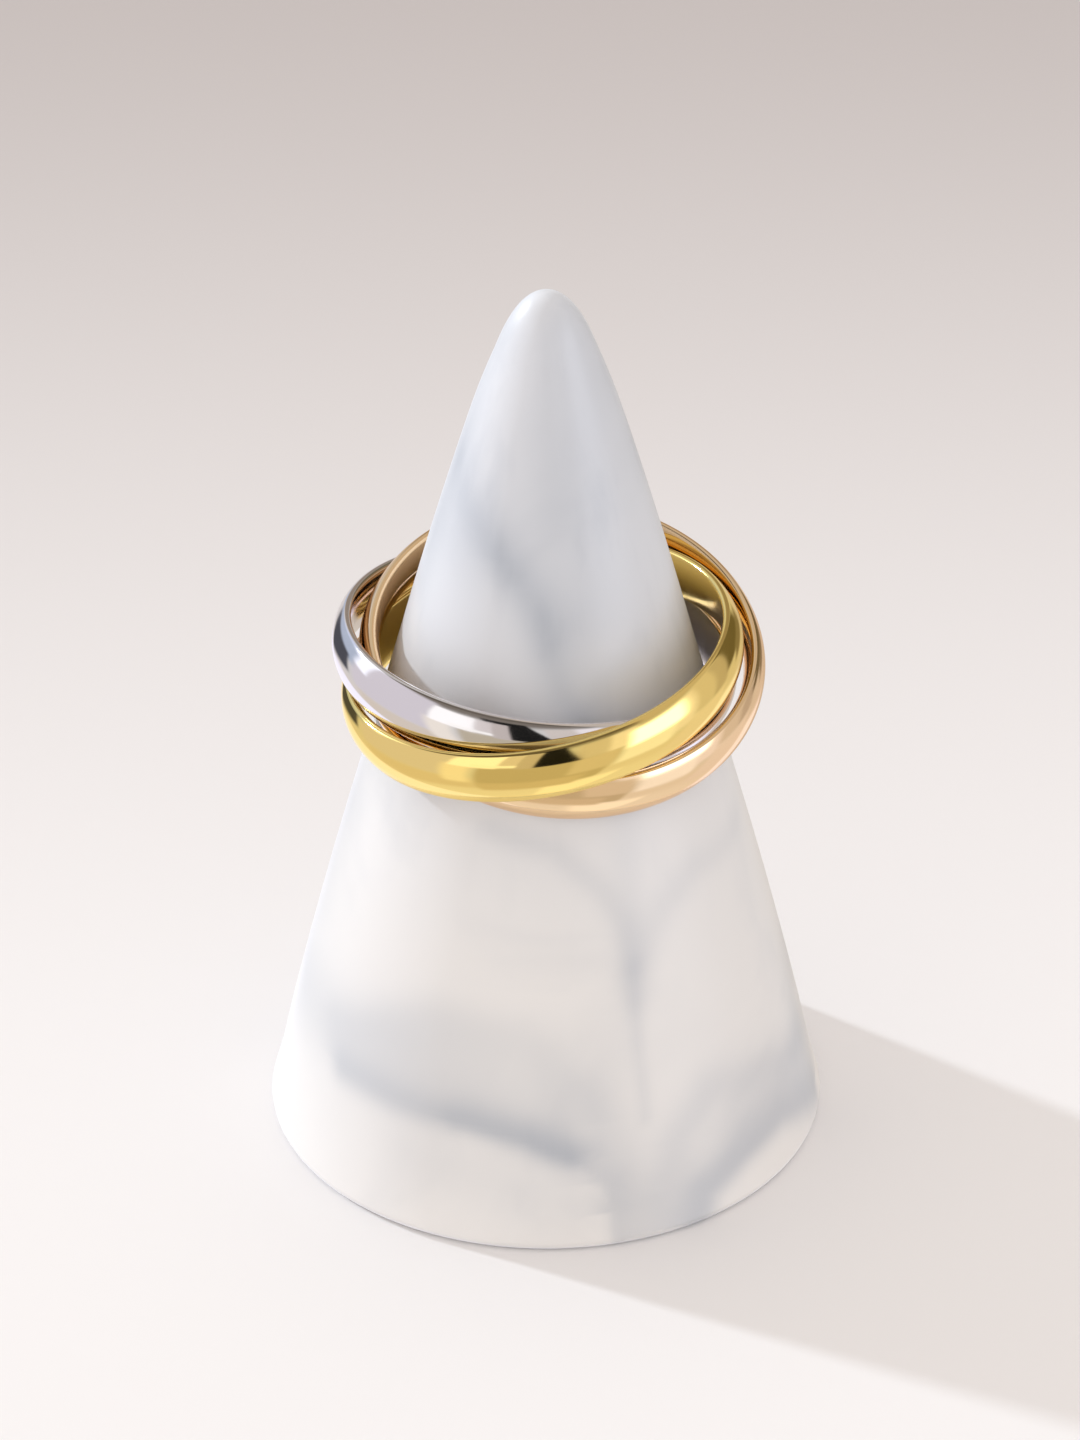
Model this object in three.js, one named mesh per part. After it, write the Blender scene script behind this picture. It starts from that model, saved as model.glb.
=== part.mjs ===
// A rolling ring on a cone stand: three interlocked polished bands, in white, yellow and rose
// gold, seated on a plain round cone with a rounded tip. Millimetres, +Z up. The origin is the
// middle of the stand's flat underside, and the front of the part faces -Y.

import * as THREE from "three";

// Every band has the same section: a domed outer face, a slightly domed inner face and round edges.
const BAND_BORE = 18.5; // inner diameter of one band, at the middle of its inner face
const BAND_WIDTH = 2.85; // from edge to edge, along the band's own axis
const BAND_THICKNESS = 1.1; // at the middle of the faces
const EDGE_RADIUS = 0.24;
const OUTER_DOME = 0.37; // rise of the outer face between its rounded edges
const INNER_DOME = 0.25; // rise of the inner face between its rounded edges

// How the bands lie: just loose enough to leave the gap, and seated on the cone as one set.
const BAND_GAP = 0.15; // smallest gap between two bands
const SEAT_GAP = 0.13; // smallest gap between the bands and the cone
const SET_FORWARD = 0.45; // the set hangs this far off the cone's axis, towards the front
const SET_LEAN = 4.1; // degrees; the set leans forward, with its back side high

// The cone stand.
const STAND_DIAMETER = 28.9;
const STAND_HEIGHT = 47.9;
const FOOT_RADIUS = 0.5; // rounding of the edge round the underside

// How each band lies in the set. Seen from above, it stands furthest out at its outward bearing
// and highest about a quarter turn further on, in degrees from +X. Its shift and its lift are
// shares of the bands' thickness and its rise is a share of their width, times the looseness.
const BANDS = [
  { name: "white_band", color: 0xdcd6d6, outward: 139, high: 229.5, shift: 0.735, rise: 0.665, lift: -0.11 },
  { name: "yellow_band", color: 0xe0b866, outward: 255, high: 344.5, shift: 0.785, rise: 0.715, lift: 0.1 },
  { name: "rose_band", color: 0xe6bb98, outward: 20, high: 110.5, shift: 0.805, rise: 0.745, lift: 0.02 },
];

// Half of the stand's outline between its foot and its tip, nearly straight: height as a share
// of the stand's height, and radius as a share of its foot's radius.
const STAND_OUTLINE = [
  { up: 0.05, out: 0.965 },
  { up: 0.125, out: 0.911 },
  { up: 0.23, out: 0.828 },
  { up: 0.33, out: 0.744 },
  { up: 0.45, out: 0.638 },
  { up: 0.555, out: 0.544 },
  { up: 0.72, out: 0.398 },
  { up: 0.866, out: 0.257 },
  { up: 0.936, out: 0.174 },
];

// Facets. The bands' sides divide a turn into twelfths, so a band turned by 30 degrees repeats.
const BAND_SIDES = 72;
const STAND_SIDES = 60;
const OUTER_STEPS = 5;
const INNER_STEPS = 2;
const EDGE_STEPS = 3;
const OUTLINE_STEPS = 14;
const TIP_STEPS = 4;
const FOOT_STEPS = 2;

const UP = new THREE.Vector3(0, 1, 0); // a lathe turns about +Y
const boreRadius = BAND_BORE / 2;
const middleRadius = boreRadius + BAND_THICKNESS / 2;
const footRadius = STAND_DIAMETER / 2;

// Points on an arc, from one angle to another, both ends included.
function arcPoints(x, y, radius, from, to, steps) {
  const points = [];
  for (let i = 0; i <= steps; i += 1) {
    const angle = from + ((to - from) * i) / steps;
    points.push(new THREE.Vector2(x + radius * Math.cos(angle), y + radius * Math.sin(angle)));
  }
  return points;
}

// A band's section, x from the band's axis and y along it, as a closed run of points that goes
// up the outer face and down the inner one. It is convex: the domed faces run into round edges.
function bandSection() {
  const edge = Math.min(EDGE_RADIUS, (BAND_THICKNESS - OUTER_DOME - INNER_DOME) / 2);
  const chord = BAND_WIDTH / 2 - edge;
  const outerRadius = (chord ** 2 + OUTER_DOME ** 2) / (2 * OUTER_DOME);
  const innerRadius = (chord ** 2 + INNER_DOME ** 2) / (2 * INNER_DOME);
  const outerTurn = Math.asin(chord / outerRadius);
  const innerTurn = Math.asin(chord / innerRadius);
  const outerEdge = boreRadius + BAND_THICKNESS - OUTER_DOME - edge;
  const innerEdge = boreRadius + INNER_DOME + edge;
  const outerCentre = boreRadius + BAND_THICKNESS - edge - outerRadius;
  const innerCentre = boreRadius + edge + innerRadius;
  const quarter = Math.PI / 2;
  const runs = [
    arcPoints(outerCentre, 0, outerRadius + edge, -outerTurn, outerTurn, OUTER_STEPS),
    arcPoints(outerEdge, chord, edge, outerTurn, quarter, EDGE_STEPS),
    arcPoints(innerEdge, chord, edge, quarter, Math.PI - innerTurn, EDGE_STEPS),
    arcPoints(innerCentre, 0, innerRadius + edge, Math.PI - innerTurn, Math.PI + innerTurn, INNER_STEPS),
    arcPoints(innerEdge, -chord, edge, Math.PI + innerTurn, 3 * quarter, EDGE_STEPS),
    arcPoints(outerEdge, -chord, edge, -quarter, -outerTurn, EDGE_STEPS),
  ];
  return joinRuns(runs);
}

// Joins runs of points end to end, dropping each point that repeats the one before it.
function joinRuns(runs) {
  const points = [];
  for (const point of runs.flat()) {
    const last = points[points.length - 1];
    if (!last || last.distanceTo(point) > 1e-6) {
      points.push(point);
    }
  }
  return points;
}

// The stand's outline from the middle of the underside up to the tip, x from the axis and y up.
// The tip curves from the side's slope to the level of the top.
function standOutline() {
  const foot = arcPoints(footRadius - FOOT_RADIUS, FOOT_RADIUS, FOOT_RADIUS, -Math.PI / 2, 0, FOOT_STEPS);
  const rows = STAND_OUTLINE.map(
    (row) => new THREE.Vector2(row.out * footRadius, row.up * STAND_HEIGHT)
  );
  const side = new THREE.SplineCurve([foot[FOOT_STEPS], ...rows]);
  const [before, last] = rows.slice(-2);
  const slope = (last.x - before.x) / (last.y - before.y);
  const corner = new THREE.Vector2(last.x + slope * (STAND_HEIGHT - last.y), STAND_HEIGHT);
  const tip = new THREE.QuadraticBezierCurve(last, corner, new THREE.Vector2(0, STAND_HEIGHT));
  const middle = new THREE.Vector2(0, 0);
  return joinRuns([[middle], foot, side.getPoints(OUTLINE_STEPS), tip.getPoints(TIP_STEPS)]);
}

// How far a point lies outside a convex section, or below zero how deep it lies inside.
function outside(section, x, y) {
  let furthest = -Infinity;
  for (let i = 0; i + 1 < section.length; i += 1) {
    const from = section[i];
    const to = section[i + 1];
    const length = from.distanceTo(to);
    const across = ((to.y - from.y) * (x - from.x) - (to.x - from.x) * (y - from.y)) / length;
    furthest = Math.max(furthest, across);
  }
  return furthest;
}

// A band's place within the set, for a looseness of the whole set.
function bandPose(band, looseness) {
  const outward = THREE.MathUtils.degToRad(band.outward);
  const high = THREE.MathUtils.degToRad(band.high);
  const shift = looseness * band.shift * BAND_THICKNESS;
  const tilt = Math.atan((looseness * band.rise * BAND_WIDTH) / middleRadius);
  const lean = Math.sin(tilt);
  const axis = new THREE.Vector3(-lean * Math.cos(high), -lean * Math.sin(high), Math.cos(tilt));
  const centre = new THREE.Vector3(
    shift * Math.cos(outward),
    shift * Math.sin(outward),
    looseness * band.lift * BAND_THICKNESS
  );
  return new THREE.Matrix4().compose(
    centre,
    new THREE.Quaternion().setFromUnitVectors(UP, axis),
    new THREE.Vector3(1, 1, 1)
  );
}

// The whole set's place on the stand, at a height above the underside.
function setPose(height) {
  const place = new THREE.Matrix4().makeRotationX(THREE.MathUtils.degToRad(SET_LEAN));
  return place.setPosition(0, -SET_FORWARD, height);
}

// Every corner of a band's faceted surface, placed by a matrix.
function bandCorners(section, pose) {
  const corners = [];
  for (let side = 0; side < BAND_SIDES; side += 1) {
    const angle = (2 * Math.PI * side) / BAND_SIDES;
    for (const point of section) {
      const corner = new THREE.Vector3(point.x * Math.sin(angle), point.y, point.x * Math.cos(angle));
      corners.push(corner.applyMatrix4(pose));
    }
  }
  return corners;
}

// The smallest gap between any two bands of the set.
function gapInSet(section, looseness) {
  const poses = BANDS.map((band) => bandPose(band, looseness));
  let smallest = Infinity;
  poses.forEach((pose, index) => {
    const corners = bandCorners(section, pose);
    poses.forEach((other, otherIndex) => {
      if (otherIndex === index) {
        return;
      }
      const inverse = other.clone().invert();
      for (const corner of corners) {
        const local = corner.clone().applyMatrix4(inverse);
        smallest = Math.min(smallest, outside(section, Math.hypot(local.x, local.z), local.y));
      }
    });
  });
  return smallest;
}

// The stand's radius and the cosine of its slope at a height, off the faceted outline.
function standAt(outline, height) {
  for (let i = 0; i + 1 < outline.length; i += 1) {
    const low = outline[i];
    const top = outline[i + 1];
    if (height >= low.y && height <= top.y && top.y > low.y) {
      const share = (height - low.y) / (top.y - low.y);
      const cosine = (top.y - low.y) / low.distanceTo(top);
      return { radius: low.x + share * (top.x - low.x), cosine };
    }
  }
  return { radius: 0, cosine: 1 };
}

// The smallest gap between the set of bands and the stand, with the set at a height.
function gapToStand(section, outline, looseness, height) {
  const place = setPose(height);
  let smallest = Infinity;
  for (const band of BANDS) {
    const pose = place.clone().multiply(bandPose(band, looseness));
    for (const corner of bandCorners(section, pose)) {
      const stand = standAt(outline, corner.z);
      const gap = (Math.hypot(corner.x, corner.y) - stand.radius) * stand.cosine;
      smallest = Math.min(smallest, gap);
    }
  }
  return smallest;
}

// The value between two ends at which a rising gap reaches its target, by halving.
function valueForGap(low, high, target, gapAt) {
  let [from, to] = [low, high];
  for (let step = 0; step < 24; step += 1) {
    const middle = (from + to) / 2;
    if (gapAt(middle) < target) {
      from = middle;
    } else {
      to = middle;
    }
  }
  return to;
}

function metal(color) {
  return new THREE.MeshStandardMaterial({ color, metalness: 1, roughness: 0.12 });
}

function bandMesh(band, section, looseness) {
  const mesh = new THREE.Mesh(new THREE.LatheGeometry(section, BAND_SIDES), metal(band.color));
  mesh.name = band.name;
  bandPose(band, looseness).decompose(mesh.position, mesh.quaternion, mesh.scale);
  return mesh;
}

function standMesh(outline) {
  const glaze = new THREE.MeshStandardMaterial({ color: 0xe2dedc, metalness: 0, roughness: 0.35 });
  const mesh = new THREE.Mesh(new THREE.LatheGeometry(outline, STAND_SIDES), glaze);
  mesh.name = "cone_stand";
  mesh.rotation.x = Math.PI / 2;
  return mesh;
}

const section = bandSection();
const outline = standOutline();
const looseness = valueForGap(0.5, 1.5, BAND_GAP, (value) => gapInSet(section, value));
const seatHeight = valueForGap(0, STAND_HEIGHT, SEAT_GAP, (height) =>
  gapToStand(section, outline, looseness, height)
);

const ring = new THREE.Group();
setPose(seatHeight).decompose(ring.position, ring.quaternion, ring.scale);
for (const band of BANDS) {
  ring.add(bandMesh(band, section, looseness));
}

const part = new THREE.Group();
part.add(standMesh(outline), ring);

export default part;
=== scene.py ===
"""A rolling ring on a cone stand: three polished gold bands and a marbled cone, around the CAD frame."""

import logging
import math
from dataclasses import dataclass
from enum import Enum

import bmesh
import bpy
import numpy as np
from mathutils import Matrix, Vector, geometry, noise

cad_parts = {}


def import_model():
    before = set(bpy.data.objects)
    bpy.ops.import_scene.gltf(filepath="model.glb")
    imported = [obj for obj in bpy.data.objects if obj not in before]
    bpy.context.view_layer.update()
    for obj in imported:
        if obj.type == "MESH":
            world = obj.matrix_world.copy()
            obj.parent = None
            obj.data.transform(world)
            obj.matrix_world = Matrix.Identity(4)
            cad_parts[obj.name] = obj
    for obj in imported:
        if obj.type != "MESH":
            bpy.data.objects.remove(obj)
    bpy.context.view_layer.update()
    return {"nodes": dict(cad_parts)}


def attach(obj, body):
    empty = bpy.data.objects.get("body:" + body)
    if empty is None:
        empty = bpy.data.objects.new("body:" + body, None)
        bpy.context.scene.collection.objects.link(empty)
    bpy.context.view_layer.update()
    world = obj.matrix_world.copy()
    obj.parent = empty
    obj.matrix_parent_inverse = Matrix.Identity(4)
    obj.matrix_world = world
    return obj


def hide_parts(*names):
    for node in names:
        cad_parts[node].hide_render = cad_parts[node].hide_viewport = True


log = logging.getLogger("rolling_ring")

MM = 0.001
QUARTER = math.pi / 2
FULL_TURN = 2 * math.pi

# The camera, as fitted to the photograph's edges. Its picture is 1440 pixels tall.
CAMERA_ELEVATION = 32.2
CAMERA_DISTANCE = 350.9 * MM
CAMERA_TARGET = Vector((-0.32, 0.0, 23.05)) * MM
FOCAL_PIXELS = 6870
PICTURE_HEIGHT = 1440
SENSOR = 36.0
NEAR_CLIP = 10 * MM

# The Mix node names its sockets alike for each kind of data, so the ones for colours go by number.
MIX_UNDER = 6
MIX_OVER = 7
MIX_RESULT = 2

# Points of a section, and of a turned solid, that lie this close are one, in millimetres.
SECTION_WELD = 1e-5
LATHE_WELD = 1e-4

# Corners of a CAD node that agree to this many decimals of a metre are one.
CORNER_DECIMALS = 7

# Nearer to the axis than this, in millimetres, the marbling is drawn as if it were this far out.
NARROWEST = 2.0

Colour = tuple[float, float, float, float]


class Alloy(Enum):
    """The gold alloys of the three bands, by the record's material slots."""

    WHITE = "white_gold"
    YELLOW = "yellow_gold"
    ROSE = "rose_gold"


def srgb(red: int, green: int, blue: int) -> Colour:
    """Turns a colour as a screen shows it into the linear one that a shader takes.

    Args:
        red: Red, from 0 to 255.
        green: Green, from 0 to 255.
        blue: Blue, from 0 to 255.

    Returns:
        The linear red, green and blue, and an alpha of 1.
    """
    linear = []
    for value in (red, green, blue):
        share = value / 255
        linear.append(share / 12.92 if share <= 0.04045 else ((share + 0.055) / 1.055) ** 2.4)
    return (linear[0], linear[1], linear[2], 1.0)


class Board:
    """A node tree, with short ways to add and link its nodes."""

    def __init__(self, tree: bpy.types.NodeTree) -> None:
        """Takes a node tree.

        Args:
            tree: The tree of a material or of the world.
        """
        self.nodes = tree.nodes
        self.links = tree.links

    def add(self, kind: str, **settings: object) -> bpy.types.Node:
        """Adds a node.

        Args:
            kind: The node's type, such as ShaderNodeTexNoise.
            settings: Properties to set on the node.

        Returns:
            The new node.
        """
        node = self.nodes.new(kind)
        for name, value in settings.items():
            setattr(node, name, value)
        return node

    def join(self, output: bpy.types.NodeSocket, socket: bpy.types.NodeSocket) -> None:
        """Links an output socket to an input socket."""
        self.links.new(output, socket)

    def math(self, operation: str, *values: bpy.types.NodeSocket | float) -> bpy.types.NodeSocket:
        """Adds a sum, product or other operation.

        Args:
            operation: The operation's name.
            values: Sockets or numbers to work on.

        Returns:
            The socket with the result.
        """
        node = self.add("ShaderNodeMath", operation=operation)
        for value, socket in zip(values, node.inputs):
            if isinstance(value, bpy.types.NodeSocket):
                self.join(value, socket)
            else:
                socket.default_value = value
        return node.outputs["Value"]

    def blend(
        self,
        share: bpy.types.NodeSocket,
        under: bpy.types.NodeSocket | Colour,
        over: bpy.types.NodeSocket | Colour,
    ) -> bpy.types.NodeSocket:
        """Lays one colour over another.

        Args:
            share: The socket that says how much of the second colour shows.
            under: The first colour.
            over: The second colour.

        Returns:
            The socket with the mixed colour.
        """
        node = self.add("ShaderNodeMix", data_type="RGBA")
        self.join(share, node.inputs["Factor"])
        for colour, socket in ((under, node.inputs[MIX_UNDER]), (over, node.inputs[MIX_OVER])):
            if isinstance(colour, bpy.types.NodeSocket):
                self.join(colour, socket)
            else:
                socket.default_value = colour
        return node.outputs[MIX_RESULT]

    def noise(self, coordinates: bpy.types.NodeSocket, scale: float, detail: float) -> bpy.types.Node:
        """Adds a noise texture.

        Args:
            coordinates: The socket that gives the place.
            scale: How fine the noise is, per metre on Object coordinates.
            detail: The number of finer layers in it.

        Returns:
            The noise node.
        """
        node = self.add("ShaderNodeTexNoise")
        node.inputs["Scale"].default_value = scale
        node.inputs["Detail"].default_value = detail
        self.join(coordinates, node.inputs["Vector"])
        return node

    def ramp(
        self,
        value: bpy.types.NodeSocket,
        low: tuple[float, float],
        high: tuple[float, float],
    ) -> bpy.types.NodeSocket:
        """Maps a value from one range to another, smoothly at both ends.

        Args:
            value: The socket with the value.
            low: A value and what it becomes.
            high: A larger value and what it becomes.

        Returns:
            The socket with the new value.
        """
        node = self.add("ShaderNodeMapRange", interpolation_type="SMOOTHSTEP")
        node.inputs["From Min"].default_value = low[0]
        node.inputs["To Min"].default_value = low[1]
        node.inputs["From Max"].default_value = high[0]
        node.inputs["To Max"].default_value = high[1]
        self.join(value, node.inputs["Value"])
        return node.outputs["Result"]


class ShaderBoard(Board):
    """A new material's node tree, with its one principled shader."""

    def __init__(self, name: str) -> None:
        """Starts a material.

        Args:
            name: The material's name.
        """
        self.material = bpy.data.materials.new(name)
        self.material.use_nodes = True
        super().__init__(self.material.node_tree)
        self.shader = self.nodes["Principled BSDF"]


@dataclass(frozen=True)
class PolishedGold:
    """A mirror-polished gold alloy with the faint haze and hairlines of wear."""

    alloy: Alloy
    colour: Colour
    edge_tint: Colour
    roughness: float = 0.07
    worn_roughness: float = 0.15
    haze_scale: float = 450.0
    haze_detail: float = 4.0
    haze_span: tuple[float, float] = (0.42, 0.72)
    hairline_scale: float = 5200.0
    hairline_detail: float = 2.0
    hairline_strength: float = 0.12
    hairline_depth: float = 0.002 * MM

    def material(self) -> bpy.types.Material:
        """Builds the material.

        Returns:
            A procedural metal on Object coordinates.
        """
        board = ShaderBoard(self.alloy.value)
        shader = board.shader
        shader.inputs["Base Color"].default_value = self.colour
        shader.inputs["Metallic"].default_value = 1.0
        shader.inputs["Specular Tint"].default_value = self.edge_tint
        place = board.add("ShaderNodeTexCoord").outputs["Object"]
        haze = board.noise(place, self.haze_scale, self.haze_detail)
        clean, worn = self.haze_span
        wear = board.ramp(haze.outputs["Fac"], (clean, self.roughness), (worn, self.worn_roughness))
        board.join(wear, shader.inputs["Roughness"])
        hairlines = board.noise(place, self.hairline_scale, self.hairline_detail)
        bump = board.add("ShaderNodeBump")
        bump.inputs["Strength"].default_value = self.hairline_strength
        bump.inputs["Distance"].default_value = self.hairline_depth
        board.join(hairlines.outputs["Fac"], bump.inputs["Height"])
        board.join(bump.outputs["Normal"], shader.inputs["Normal"])
        return board.material


@dataclass(frozen=True)
class MarbledGlaze:
    """A pale satin ceramic with soft grey marbling that an attribute of the cone carries.

    The ceramic is painted darker and cooler from its foot's tone to its tip's over a span of heights,
    in metres: painted shade on the upper cone. Grey streaks drawn out up and down grow towards the
    tip as painted shade of faint ridges that run down from it. Each pair gives a value of the height
    or of a noise, and the share of tone or of grey there.
    """

    pale_foot: Colour = srgb(240, 239, 239)
    # The tip's tone is painted shade: darker and cooler than the foot's, for the dim upper cone.
    tip_painted_shade: Colour = srgb(224, 228, 236)
    smoke_and_shade: Colour = srgb(154, 165, 181)
    foot: tuple[float, float] = (0.012, 0.0)
    tip: tuple[float, float] = (0.034, 1.0)
    roughness: float = 0.34
    coat_weight: float = 0.06
    coat_roughness: float = 0.2
    attribute: str = "marbling"
    cloud_scale: float = 90.0
    cloud_detail: float = 3.0
    cloud_distortion: float = 0.8
    cloud_clear: tuple[float, float] = (0.45, 0.0)
    cloud_full: tuple[float, float] = (0.75, 0.12)
    # The streaks are painted shade: grey drawn out up and down for faint ridges that run down from the
    # tip.
    ridge_shade_stretch: tuple[float, float, float] = (1.0, 1.0, 0.12)
    ridge_shade_scale: float = 520.0
    ridge_shade_detail: float = 3.0
    ridge_shade_clear: tuple[float, float] = (0.48, 0.0)
    ridge_shade_full: tuple[float, float] = (0.72, 0.11)

    def material(self) -> bpy.types.Material:
        """Builds the material.

        Returns:
            A procedural ceramic on Object coordinates and the marbling attribute.
        """
        board = ShaderBoard("marbled_ceramic")
        shader = board.shader
        shader.inputs["Roughness"].default_value = self.roughness
        shader.inputs["Coat Weight"].default_value = self.coat_weight
        shader.inputs["Coat Roughness"].default_value = self.coat_roughness
        place = board.add("ShaderNodeTexCoord").outputs["Object"]
        veins = board.add("ShaderNodeAttribute", attribute_name=self.attribute).outputs["Fac"]
        clouds = board.noise(place, self.cloud_scale, self.cloud_detail)
        clouds.inputs["Distortion"].default_value = self.cloud_distortion
        cloudiness = board.ramp(clouds.outputs["Fac"], self.cloud_clear, self.cloud_full)
        # Painted shade: grey streaks drawn out up and down, growing towards the tip, for faint ridges
        # running down from it.
        ridge_shade_place = board.add("ShaderNodeVectorMath", operation="MULTIPLY")
        board.join(place, ridge_shade_place.inputs[0])
        ridge_shade_place.inputs[1].default_value = self.ridge_shade_stretch
        ridge_shade_noise = board.noise(ridge_shade_place.outputs["Vector"], self.ridge_shade_scale, self.ridge_shade_detail)
        painted_ridge_shade = board.ramp(ridge_shade_noise.outputs["Fac"], self.ridge_shade_clear, self.ridge_shade_full)
        parts = board.add("ShaderNodeSeparateXYZ")
        board.join(place, parts.inputs["Vector"])
        # This share paints the glaze darker and cooler towards the tip, as painted shade, and lets the
        # painted ridge shade grow there.
        height = board.ramp(parts.outputs["Z"], self.foot, self.tip)
        # The clouds are marbling. The streaks added to them are painted shade.
        clouds_and_ridge_shade = board.math("ADD", cloudiness, board.math("MULTIPLY", painted_ridge_shade, height))
        # The grey share: marbling from the veins and clouds, and painted shade from the streaks.
        smoke_and_shade = board.math("MINIMUM", board.math("ADD", veins, clouds_and_ridge_shade), 1.0)
        # Painted shade: the glaze goes from the foot's tone to the tip's darker, cooler one.
        pale_with_painted_shade = board.blend(height, self.pale_foot, self.tip_painted_shade)
        board.join(board.blend(smoke_and_shade, pale_with_painted_shade, self.smoke_and_shade), shader.inputs["Base Color"])
        return board.material


class Solid:
    """A mesh under construction in millimetres, made into an object with its place in its mesh."""

    def __init__(self) -> None:
        """Starts an empty mesh."""
        self.mesh = bmesh.new()

    def arc(
        self,
        centre: tuple[float, float],
        radius: float,
        start: float,
        end: float,
        steps: int,
    ) -> None:
        """Spins one vertex through an arc in the section's plane, X outwards and Z up.

        Args:
            centre: The arc's centre, as distance from the axis and height.
            radius: The arc's radius.
            start: The angle that it starts at.
            end: The angle that it ends at.
            steps: The number of edges in it.
        """
        middle = Vector((centre[0], 0, centre[1]))
        first = middle + Vector((math.cos(start), 0, math.sin(start))) * radius
        vertex = self.mesh.verts.new(first)
        bmesh.ops.spin(
            self.mesh,
            geom=[vertex],
            cent=middle,
            axis=(0, -1, 0),
            angle=end - start,
            steps=steps,
            use_merge=False,
        )

    def run(self, points: list[Vector]) -> None:
        """Joins points in the section's plane with straight edges.

        Args:
            points: The points, in order.
        """
        vertices = [self.mesh.verts.new(point) for point in points]
        for start, end in zip(vertices, vertices[1:]):
            self.mesh.edges.new((start, end))

    def turn_on_lathe(self, sides: int) -> None:
        """Spins the section all the way round the Z axis.

        Args:
            sides: The number of facets in the turn.
        """
        bmesh.ops.remove_doubles(self.mesh, verts=self.mesh.verts[:], dist=SECTION_WELD)
        bmesh.ops.spin(
            self.mesh,
            geom=self.mesh.verts[:] + self.mesh.edges[:],
            cent=(0, 0, 0),
            axis=(0, 0, 1),
            angle=FULL_TURN,
            steps=sides,
            use_merge=True,
        )
        bmesh.ops.remove_doubles(self.mesh, verts=self.mesh.verts[:], dist=LATHE_WELD)
        bmesh.ops.recalc_face_normals(self.mesh, faces=self.mesh.faces[:])
        for face in self.mesh.faces:
            face.smooth = True

    def finish(self, name: str, place: Matrix) -> bpy.types.Object:
        """Puts the mesh in its place, in metres, and makes its object.

        Args:
            name: The piece's name.
            place: Where the piece goes, in metres.

        Returns:
            The object, which sits at the origin.
        """
        bmesh.ops.transform(self.mesh, matrix=place @ Matrix.Scale(MM, 4), verts=self.mesh.verts[:])
        data = bpy.data.meshes.new(name)
        self.mesh.to_mesh(data)
        self.mesh.free()
        piece = bpy.data.objects.new(name, data)
        bpy.context.scene.collection.objects.link(piece)
        return piece


def smooth_run(rows: list[Vector], steps: int) -> list[Vector]:
    """Runs a smooth curve through rows of an outline.

    Args:
        rows: Points that the curve passes through.
        steps: The number of straight pieces between two rows.

    Returns:
        Points along the curve, both ends included.
    """
    run = []
    last = len(rows) - 1
    for index in range(last):
        start, end = rows[index], rows[index + 1]
        before, after = rows[max(index - 1, 0)], rows[min(index + 2, last)]
        # The curve leaves a row, and arrives, along the line between that row's two neighbours.
        leave = start + (end - before) / 6
        arrive = end - (after - start) / 6
        run += geometry.interpolate_bezier(start, leave, arrive, end, steps + 1)[:-1]
    return run + [rows[last]]


@dataclass
class Band:
    """One band of the ring: a domed outer face, a less domed inner one and round edges."""

    node: str
    body: str
    gold: PolishedGold
    bore: float = 18.5
    width: float = 2.85
    thickness: float = 1.1
    edge_radius: float = 0.24
    outer_dome: float = 0.37
    inner_dome: float = 0.25
    sides: int = 384
    face_steps: int = 22
    edge_steps: int = 9

    def section(self, solid: Solid) -> None:
        """Draws the band's section with spun arcs, as one closed loop.

        Args:
            solid: The mesh to draw it in.
        """
        edge = self.edge_radius
        inside = self.bore / 2
        outside = inside + self.thickness
        chord = self.width / 2 - edge
        outer_radius = (chord**2 + self.outer_dome**2) / (2 * self.outer_dome)
        inner_radius = (chord**2 + self.inner_dome**2) / (2 * self.inner_dome)
        outer_turn = math.asin(chord / outer_radius)
        inner_turn = math.asin(chord / inner_radius)
        outer_centre = (outside - edge - outer_radius, 0)
        inner_centre = (inside + edge + inner_radius, 0)
        outer_edge = outside - self.outer_dome - edge
        inner_edge = inside + self.inner_dome + edge
        solid.arc(outer_centre, outer_radius + edge, -outer_turn, outer_turn, self.face_steps)
        solid.arc((outer_edge, chord), edge, outer_turn, QUARTER, self.edge_steps)
        solid.arc((inner_edge, chord), edge, QUARTER, math.pi - inner_turn, self.edge_steps)
        solid.arc(
            inner_centre, inner_radius + edge, math.pi - inner_turn, math.pi + inner_turn, self.face_steps
        )
        solid.arc((inner_edge, -chord), edge, math.pi + inner_turn, 3 * QUARTER, self.edge_steps)
        solid.arc((outer_edge, -chord), edge, -QUARTER, -outer_turn, self.edge_steps)
        solid.run([Vector((inner_edge, 0, chord + edge)), Vector((outer_edge, 0, chord + edge))])
        solid.run([Vector((inner_edge, 0, -chord - edge)), Vector((outer_edge, 0, -chord - edge))])

    def place(self, nodes: dict[str, bpy.types.Object]) -> Matrix:
        """Finds where the band's CAD node lies.

        Args:
            nodes: The frame's CAD nodes by name.

        Returns:
            The band's place: its centre, turned so that Z is its axis.
        """
        corners = np.array([vertex.co for vertex in nodes[self.node].data.vertices])
        corners = np.unique(np.round(corners, CORNER_DECIMALS), axis=0)
        centre = corners.mean(axis=0)
        axis = Vector(np.linalg.svd(corners - centre)[2][2])
        if axis.z < 0:
            axis.negate()
        turn = Vector((0, 0, 1)).rotation_difference(axis)
        return Matrix.Translation(Vector(centre)) @ turn.to_matrix().to_4x4()

    def build(self, nodes: dict[str, bpy.types.Object]) -> bpy.types.Object:
        """Builds the band in place of its CAD node.

        Args:
            nodes: The frame's CAD nodes by name.

        Returns:
            The polished band.
        """
        solid = Solid()
        self.section(solid)
        solid.turn_on_lathe(self.sides)
        piece = solid.finish(f"polished_{self.node}", self.place(nodes))
        piece.data.materials.append(self.gold.material())
        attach(piece, self.body)
        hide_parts(self.node)
        return piece


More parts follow.
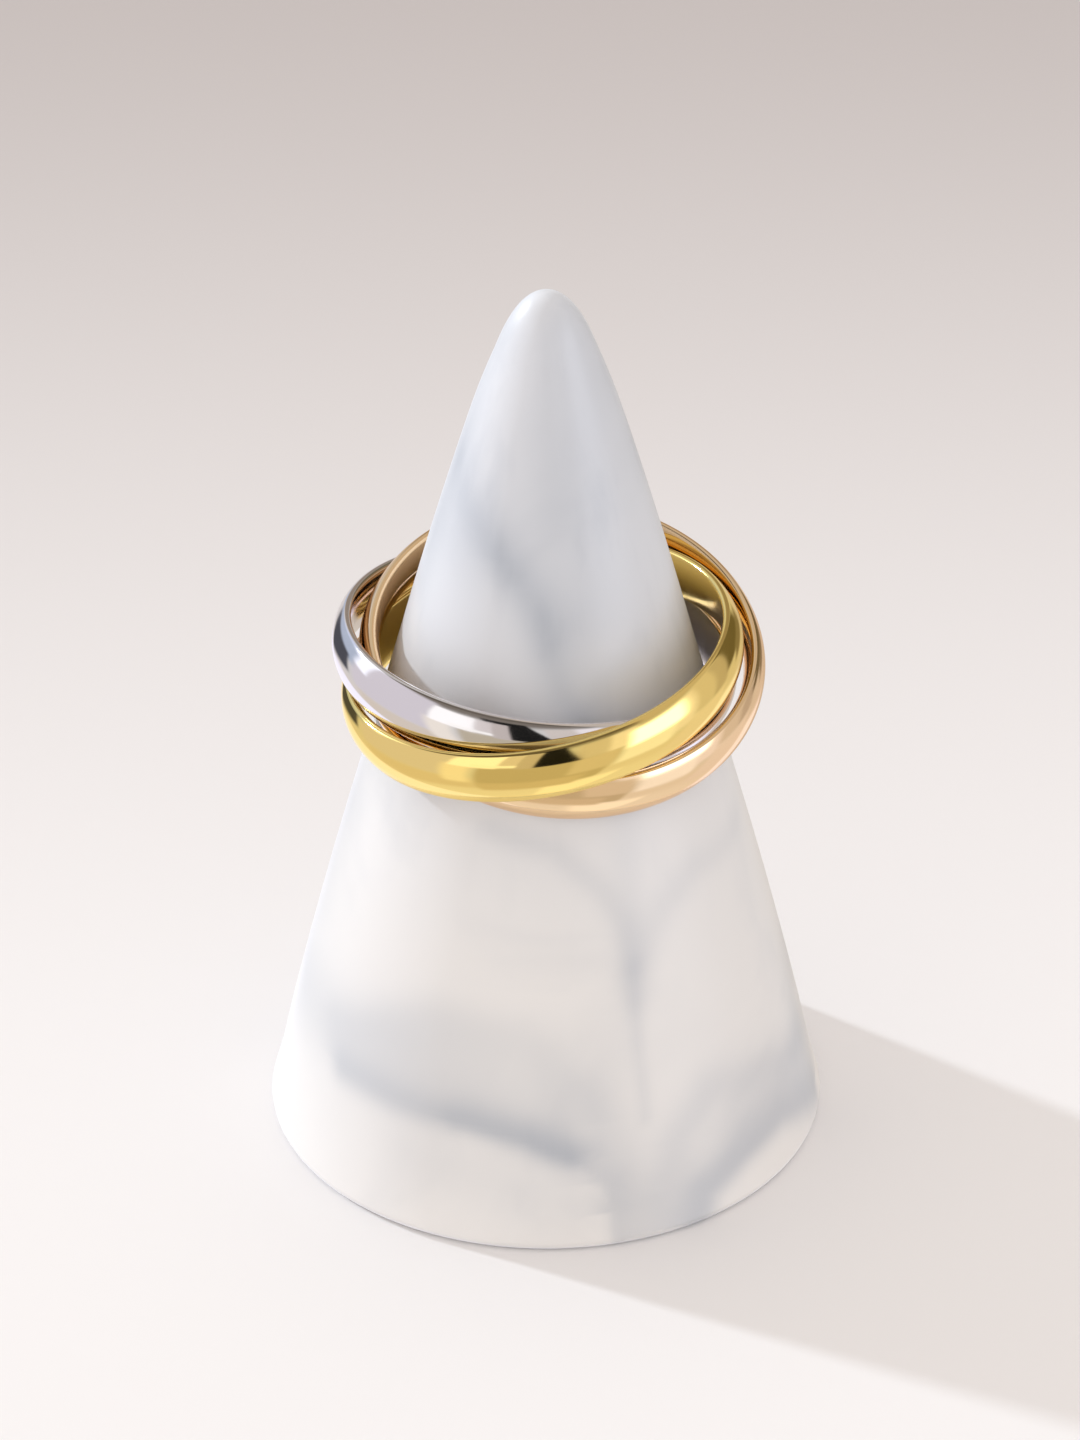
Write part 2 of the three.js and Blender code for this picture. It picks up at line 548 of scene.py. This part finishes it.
@dataclass(frozen=True)
class Vein:
    """A soft grey stroke of the marbling.

    Its path gives azimuths in degrees, 0 at the front and positive to the right, and heights in
    millimetres. It fades over one width above the path and another below it.
    """

    path: tuple[tuple[float, float], ...]
    above: float
    below: float
    strength: float

    def shade(self, azimuths: np.ndarray, heights: np.ndarray, radii: np.ndarray) -> np.ndarray:
        """Finds how strongly the stroke shows at points of the cone.

        Args:
            azimuths: The points' azimuths.
            heights: The points' heights.
            radii: The points' distances from the axis.

        Returns:
            A share for each point, from 0 to the stroke's strength.
        """
        arc = np.radians(1) * np.maximum(radii, NARROWEST)
        nearest = np.full(len(heights), np.inf)
        for (start_azimuth, start_height), (end_azimuth, end_height) in zip(self.path, self.path[1:]):
            run = (end_azimuth - start_azimuth) * arc
            rise = end_height - start_height
            offset = (azimuths - start_azimuth + 180) % 360 - 180
            across = offset * arc
            up = heights - start_height
            share = np.clip((across * run + up * rise) / (run**2 + rise**2), 0, 1)
            sideways = across - share * run
            upwards = up - share * rise
            reach = np.where(upwards > 0, self.above, self.below)
            nearest = np.minimum(nearest, np.hypot(sideways, upwards) / reach)
        return self.strength * np.exp(-(nearest**2))


@dataclass
class ConeStand:
    """The plain marbled cone that the ring is seated on.

    Its outline gives heights as shares of its own, and radii as shares of its foot's radius. The
    marbling is drawn once for each of the turns, which give an angle in degrees and a share of
    the strength. The drift is how far, in millimetres, a noise bends the strokes.
    """

    node: str = "cone_stand"
    body: str = "stand"
    diameter: float = 28.9
    height: float = 47.9
    foot_radius: float = 0.5
    outline: tuple[tuple[float, float], ...] = (
        (0.05, 0.965),
        (0.125, 0.911),
        (0.23, 0.828),
        (0.33, 0.744),
        (0.45, 0.638),
        (0.555, 0.544),
        (0.72, 0.398),
        (0.866, 0.257),
        (0.936, 0.174),
    )
    sides: int = 256
    side_steps: int = 14
    tip_steps: int = 16
    foot_steps: int = 5
    glaze: MarbledGlaze = MarbledGlaze()
    drift: float = 0.8
    drift_scale: float = 0.16
    turns: tuple[tuple[float, float], ...] = ((0, 1.0), (168, 0.8))
    veins: tuple[Vein, ...] = (
        Vein(((-78, 8.0), (-48, 8.8), (-30, 9.0), (-15, 8.4), (0, 7.0)), 2.8, 2.2, 0.22),
        Vein(((-52, 6.9), (-33, 7.2), (-17, 6.9), (-3, 6.0), (6, 5.2)), 1.2, 0.9, 0.38),
        Vein(((-20, 6.8), (-3, 6.1), (9, 4.9), (14.5, 3.5), (16.6, 1.7), (17, 0)), 1.3, 0.5, 0.3),
        Vein(((-58, 9.1), (-29, 11.7), (-5, 11.5), (9, 8.8), (17.6, 5.5), (20, 2.4)), 1.3, 1.6, 0.14),
        Vein(((-17, 22.3), (5, 20.9), (17, 18.6), (22.4, 16.6), (24, 14.5)), 0.8, 0.7, 0.17),
        Vein(((72, 18.7), (48, 18.4), (35, 17), (28.5, 15.6), (25, 13.5)), 1.2, 1.0, 0.14),
        Vein(((25.5, 23), (24.5, 17.5), (24.4, 13)), 0.9, 0.9, 0.12),
        Vein(((24.4, 14.5), (24, 11), (23.5, 7)), 0.5, 0.5, 0.14),
        Vein(((92, 4.0), (59, 6.4), (40, 6.9), (31.5, 5.5), (26.5, 2.9), (23.7, 0)), 1.3, 1.3, 0.2),
        Vein(((83, 1.6), (60, 2.8), (46, 2.4), (36, 1.6), (33, 0.2)), 1.8, 0.9, 0.5),
        Vein(((80, 5.0), (62, 4.6), (48, 4.4)), 1.8, 1.8, 0.2),
        Vein(((-75, 39), (-44, 37.3), (-20, 35.2), (-1, 32.4), (8.5, 30), (12, 27.5)), 1.6, 1.4, 0.26),
        Vein(((-24, 35), (-8, 33.4), (2, 31.6)), 1.0, 0.8, 0.24),
        Vein(((4, 31), (11, 28), (19, 25.4), (23, 23.5)), 0.6, 0.6, 0.12),
        Vein(((-70, 36), (-42, 35.8)), 2.6, 2.6, 0.22),
        Vein(((44, 31), (26, 29.5), (15, 27.5)), 0.8, 0.8, 0.12),
        Vein(((36, 46), (24, 42), (20, 37), (17, 33)), 2.4, 2.4, 0.26),
        Vein(((70, 43), (55, 38), (48, 33)), 2.0, 2.0, 0.1),
        Vein(((-30, 4.5), (-10, 3.6), (5, 2.6)), 2.0, 2.0, 0.12),
        Vein(((-125, 14), (-80, 12), (-58, 7)), 9.0, 7.0, 0.12),
    )

    def marble(self, piece: bpy.types.Object) -> None:
        """Paints the marbling into an attribute of the cone.

        Args:
            piece: The cone.
        """
        data = piece.data
        corners = np.array([vertex.co for vertex in data.vertices]) / MM
        wander = np.array([noise.noise_vector(Vector(corner) * self.drift_scale) for corner in corners])
        radii = np.hypot(corners[:, 0], corners[:, 1])
        azimuths = np.degrees(np.arctan2(corners[:, 0], -corners[:, 1]))
        azimuths = azimuths + np.degrees(self.drift * wander[:, 0] / np.maximum(radii, NARROWEST))
        heights = corners[:, 2] + self.drift * wander[:, 2]
        clear = np.ones(len(corners))
        for turn, fade in self.turns:
            for vein in self.veins:
                clear *= 1 - fade * vein.shade(azimuths - turn, heights, radii)
        layer = data.attributes.new(self.glaze.attribute, "FLOAT", "POINT")
        layer.data.foreach_set("value", (1 - clear).astype(np.float32))

    def section(self, solid: Solid) -> None:
        """Draws half of the cone's outline, from the middle of its underside to its tip.

        Args:
            solid: The mesh to draw it in.
        """
        foot = self.foot_radius
        radius = self.diameter / 2
        rows = [Vector((radius * out, 0, self.height * up)) for up, out in self.outline]
        slope = (rows[-1].x - rows[-2].x) / (rows[-1].z - rows[-2].z)
        corner = Vector((rows[-1].x + slope * (self.height - rows[-1].z), 0, self.height))
        top = Vector((0, 0, self.height))
        leave = rows[-1].lerp(corner, 2 / 3)
        arrive = top.lerp(corner, 2 / 3)
        tip = geometry.interpolate_bezier(rows[-1], leave, arrive, top, self.tip_steps + 1)
        solid.run([Vector((0, 0, 0)), Vector((radius - foot, 0, 0))])
        solid.arc((radius - foot, foot), foot, -QUARTER, 0, self.foot_steps)
        solid.run(smooth_run([Vector((radius, 0, foot)), *rows], self.side_steps))
        solid.run(tip)

    def build(self) -> bpy.types.Object:
        """Builds the cone in place of its CAD node.

        Returns:
            The marbled cone.
        """
        solid = Solid()
        self.section(solid)
        solid.turn_on_lathe(self.sides)
        piece = solid.finish("marbled_cone", Matrix.Identity(4))
        self.marble(piece)
        piece.data.materials.append(self.glaze.material())
        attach(piece, self.body)
        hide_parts(self.node)
        return piece


@dataclass(frozen=True)
class Card:
    """A soft-edged patch of the studio that the polished metal mirrors, bright or dark.

    Azimuths are in degrees, 0 towards the camera's side and positive to its right. Elevations are
    in degrees above the horizon. The climb is the patch's rise per degree of azimuth, and the lean
    is its shift to the right per degree of elevation.
    """

    azimuths: tuple[float, float]
    elevations: tuple[float, float]
    colour: Colour
    softness: float = 3.0
    climb: float = 0.0
    lean: float = 0.0

    def mask(
        self,
        board: Board,
        azimuth: bpy.types.NodeSocket,
        elevation: bpy.types.NodeSocket,
    ) -> bpy.types.NodeSocket:
        """Builds the nodes that say how much of the card shows in a direction.

        Args:
            board: The world's node tree.
            azimuth: The socket with the direction's azimuth.
            elevation: The socket with the direction's elevation.

        Returns:
            The socket with the share, from 0 to 1.
        """
        middle = (self.azimuths[0] + self.azimuths[1]) / 2
        level = (self.elevations[0] + self.elevations[1]) / 2
        across = board.math("WRAP", board.math("SUBTRACT", azimuth, middle), 180.0, -180.0)
        height = board.math("SUBTRACT", elevation, level)
        climb = board.math("MULTIPLY", across, self.climb)
        lean = board.math("MULTIPLY", height, self.lean)
        across = board.math("SUBTRACT", across, lean)
        height = board.math("SUBTRACT", height, climb)
        half_width = (self.azimuths[1] - self.azimuths[0]) / 2
        half_height = (self.elevations[1] - self.elevations[0]) / 2
        shares = []
        for distance, half in ((across, half_width), (height, half_height)):
            away = board.math("ABSOLUTE", distance)
            shares.append(board.ramp(away, (half - self.softness, 1.0), (half + self.softness, 0.0)))
        return board.math("MULTIPLY", *shares)


def light(level: float, warmth: float = 0.0) -> Colour:
    """Makes a near-white light colour.

    Args:
        level: How bright it is, where 1 shows as white.
        warmth: How far it leans to cream, or below zero to blue.

    Returns:
        The colour.
    """
    return (level * (1 + warmth), level, level * (1 - warmth), 1.0)


@dataclass
class Studio:
    """A plain pale floor, soft light and the camera at the photograph's angle.

    The horizon gives elevations in degrees, each with the level and the warmth of the light there.
    A card covers the cards that come before it.
    """

    floor_size: float = 3.0
    floor_near: Colour = srgb(239, 239, 242)
    floor_far: Colour = srgb(184, 178, 178)
    floor_depths: tuple[float, float] = (-0.02, 0.16)
    floor_roughness: float = 0.7
    room: Colour = (0.965, 0.895, 0.835, 1.0)
    key_azimuth: float = -121.0
    key_elevation: float = 21.0
    key_angle: float = 3.0
    key_power: float = 1.72
    key_colour: tuple[float, float, float] = (0.91, 0.98, 1.04)
    horizon: tuple[tuple[float, float, float], ...] = (
        (-90, 0.9, 0.03),
        (-60, 0.86, 0.03),
        (-40, 0.78, 0.06),
        (-15, 0.74, 0.0),
        (29, 0.72, 0.0),
        (41, 0.2, 0.12),
        (55, 0.1, 0.2),
        (90, 0.3, 0.1),
    )
    cards: tuple[Card, ...] = (
        Card((-180, -110), (24, 90), light(0.6, 0.02), 8.0),
        Card((50, 180), (32, 90), light(0.54, 0.12), 6.0),
        Card((-118, -57), (-26, 38), (0.755, 0.725, 0.8, 1), 4.0),
        Card((-152, -122), (8, 32), (0.68, 0.76, 0.98, 1), 5.0),
        Card((-123, -104), (1, 38), (1.25, 1.3, 1.45, 1), 2.5),
        Card((-118, -42), (-50, -27), (0.77, 0.7, 0.62, 1), 4.0),
        Card((-225, -95), (-78, -28), (1.1, 1.12, 1.3, 1), 4.0, lean=-1.6),
        Card((-60, -44), (-36, 4), (1.0, 0.95, 0.88, 1), 4.0),
        Card((5, 60), (-80, -52), (1.1, 1.08, 1.04, 1), 5.0),
        Card((-40, 38), (-50, 2), (0.58, 0.52, 0.41, 1), 2.5),
        Card((-40, 26), (-56, -36), (0.68, 0.6, 0.49, 1), 4.0),
        Card((13, 39), (-32, 1), (0.73, 0.66, 0.58, 1), 3.0),
        Card((-57.5, -30), (1, 34), (1.25, 1.25, 1.28, 1), 2.0),
        Card((12, 33), (2, 34), (0.72, 0.67, 0.64, 1), 2.0),
        Card((31, 48), (1, 34), (0.98, 0.94, 0.98, 1), 3.0),
        Card((42, 78), (-34, -2), (1.04, 1.06, 1.15, 1), 4.0),
        Card((76, 94), (-24, 28), (0.95, 0.92, 1.0, 1), 4.0),
        Card((89, 108), (-18, 30), (0.72, 0.67, 0.64, 1), 4.0),
        Card((106, 121), (-18, 27), (0.55, 0.5, 0.47, 1), 3.0),
        Card((88, 124), (-50, -19), (0.86, 0.81, 0.82, 1), 4.0),
        Card((44, 80), (-6, 26), (2.7, 2.7, 2.9, 1), 5.0),
        Card((120, 166), (-28, -10), (0.74, 0.7, 0.68, 1), 4.0),
        Card((150, 198), (8, 46), (0.33, 0.28, 0.23, 1), 5.0),
        Card((148, 188), (-45, -20), (0.66, 0.6, 0.52, 1), 5.0),
        Card((119.5, 149), (-10, 42), (0.16, 0.135, 0.08, 1), 2.5),
        Card((133, 154), (-18, -6), (0.25, 0.22, 0.16, 1), 3.0),
        Card((-21, 9), (0.5, 40), (0.012, 0.012, 0.012, 1), 1.2, lean=-0.37),
        Card((-45, -18), (3, 8.5), (1.2, 1.2, 1.2, 1), 1.8),
        Card((-30, -19), (8.5, 34), (0.79, 0.74, 0.745, 1), 1.5),
        Card((-20, -10), (-1, 34), (0.62, 0.565, 0.55, 1), 1.2),
        Card((-165, -117), (-9, 12), (0.5, 0.58, 0.73, 1), 4.0, climb=0.1),
        Card((-156, -123), (-24, -6), (0.085, 0.09, 0.11, 1), 2.5, climb=0.25),
    )

    def floor(self) -> None:
        """Lays the floor that the stand stands on, a little darker further off."""
        mesh = bmesh.new()
        bmesh.ops.create_grid(mesh, x_segments=1, y_segments=1, size=self.floor_size / 2)
        data = bpy.data.meshes.new("floor")
        mesh.to_mesh(data)
        mesh.free()
        floor = bpy.data.objects.new("floor", data)
        bpy.context.scene.collection.objects.link(floor)
        floor.visible_glossy = False
        board = ShaderBoard("pale_floor")
        place = board.add("ShaderNodeTexCoord").outputs["Object"]
        parts = board.add("ShaderNodeSeparateXYZ")
        board.join(place, parts.inputs["Vector"])
        near, far = self.floor_depths
        depth = board.ramp(parts.outputs["Y"], (near, 0.0), (far, 1.0))
        tone = board.blend(depth, self.floor_near, self.floor_far)
        board.join(tone, board.shader.inputs["Base Color"])
        board.shader.inputs["Roughness"].default_value = self.floor_roughness
        data.materials.append(board.material)

    def world(self) -> None:
        """Fills the room with soft light, and gives the metal a studio to mirror."""
        world = bpy.data.worlds.new("studio")
        bpy.context.scene.world = world
        world.use_nodes = True
        board = Board(world.node_tree)
        direction = board.add("ShaderNodeSeparateXYZ")
        board.join(board.add("ShaderNodeTexCoord").outputs["Generated"], direction.inputs["Vector"])
        across, along, up = (direction.outputs[axis] for axis in "XYZ")
        backwards = board.math("MULTIPLY", along, -1.0)
        azimuth = board.math("DEGREES", board.math("ARCTAN2", across, backwards))
        elevation = board.math("DEGREES", board.math("ARCSINE", up))
        mirrored = self.sky(board, elevation)
        for card in self.cards:
            mirrored = board.blend(card.mask(board, azimuth, elevation), mirrored, card.colour)
        soft = board.nodes["Background"]
        soft.inputs["Color"].default_value = self.room
        studio = board.add("ShaderNodeBackground")
        board.join(mirrored, studio.inputs["Color"])
        either = board.add("ShaderNodeMixShader")
        board.join(board.add("ShaderNodeLightPath").outputs["Is Glossy Ray"], either.inputs["Fac"])
        board.join(soft.outputs["Background"], either.inputs[1])
        board.join(studio.outputs["Background"], either.inputs[2])
        board.join(either.outputs["Shader"], board.nodes["World Output"].inputs["Surface"])

    def sky(self, board: Board, elevation: bpy.types.NodeSocket) -> bpy.types.NodeSocket:
        """Shades the room from its floor to its ceiling.

        Args:
            board: The world's node tree.
            elevation: The socket with the direction's elevation.

        Returns:
            The socket with the colour.
        """
        colour = light(self.horizon[0][1], self.horizon[0][2])
        for lower, upper in zip(self.horizon, self.horizon[1:]):
            share = board.ramp(elevation, (lower[0], 0.0), (upper[0], 1.0))
            colour = board.blend(share, colour, light(upper[1], upper[2]))
        return colour

    def key(self) -> None:
        """Adds the low light from behind on the left that throws the stand's shadow."""
        azimuth = math.radians(self.key_azimuth)
        level = math.radians(self.key_elevation)
        towards = Vector(
            (
                math.sin(azimuth) * math.cos(level),
                -math.cos(azimuth) * math.cos(level),
                math.sin(level),
            )
        )
        lamp = bpy.data.lights.new("key", "SUN")
        lamp.energy = self.key_power
        lamp.color = self.key_colour
        lamp.angle = math.radians(self.key_angle)
        key = bpy.data.objects.new("key", lamp)
        key.rotation_mode = "QUATERNION"
        key.rotation_quaternion = towards.to_track_quat("Z", "Y")
        bpy.context.scene.collection.objects.link(key)

    def camera(self) -> None:
        """Sets up the camera."""
        data = bpy.data.cameras.new("camera")
        data.sensor_width = SENSOR
        data.lens = SENSOR * FOCAL_PIXELS / PICTURE_HEIGHT
        data.clip_start = NEAR_CLIP
        camera = bpy.data.objects.new("camera", data)
        tilt = math.radians(CAMERA_ELEVATION)
        back = Vector((0, -math.cos(tilt), math.sin(tilt)))
        camera.location = CAMERA_TARGET + back * CAMERA_DISTANCE
        camera.rotation_mode = "QUATERNION"
        camera.rotation_quaternion = back.to_track_quat("Z", "Y")
        bpy.context.scene.collection.objects.link(camera)
        bpy.context.scene.camera = camera

    def build(self) -> None:
        """Sets up the whole studio."""
        bpy.context.scene.view_settings.view_transform = "Standard"
        self.floor()
        self.world()
        self.key()
        self.camera()


WHITE_GOLD = PolishedGold(Alloy.WHITE, (0.82, 0.78, 0.77, 1), srgb(255, 250, 250))
YELLOW_GOLD = PolishedGold(Alloy.YELLOW, (0.98, 0.74, 0.26, 1), srgb(255, 245, 220))
ROSE_GOLD = PolishedGold(Alloy.ROSE, (0.95, 0.7, 0.43, 1), srgb(255, 240, 228))

BANDS = (
    Band("white_band", "white", WHITE_GOLD),
    Band("yellow_band", "yellow", YELLOW_GOLD),
    Band("rose_band", "stand", ROSE_GOLD),
)


def main() -> None:
    """Builds the ring, its stand and the studio around the frame."""
    logging.basicConfig(level=logging.INFO, format="%(name)s: %(message)s")
    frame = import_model()
    for band in BANDS:
        piece = band.build(frame["nodes"])
        log.info("%s has %d faces", piece.name, len(piece.data.polygons))
    stand = ConeStand().build()
    log.info("%s has %d faces", stand.name, len(stand.data.polygons))
    Studio().build()


if __name__ == "__main__":
    main()
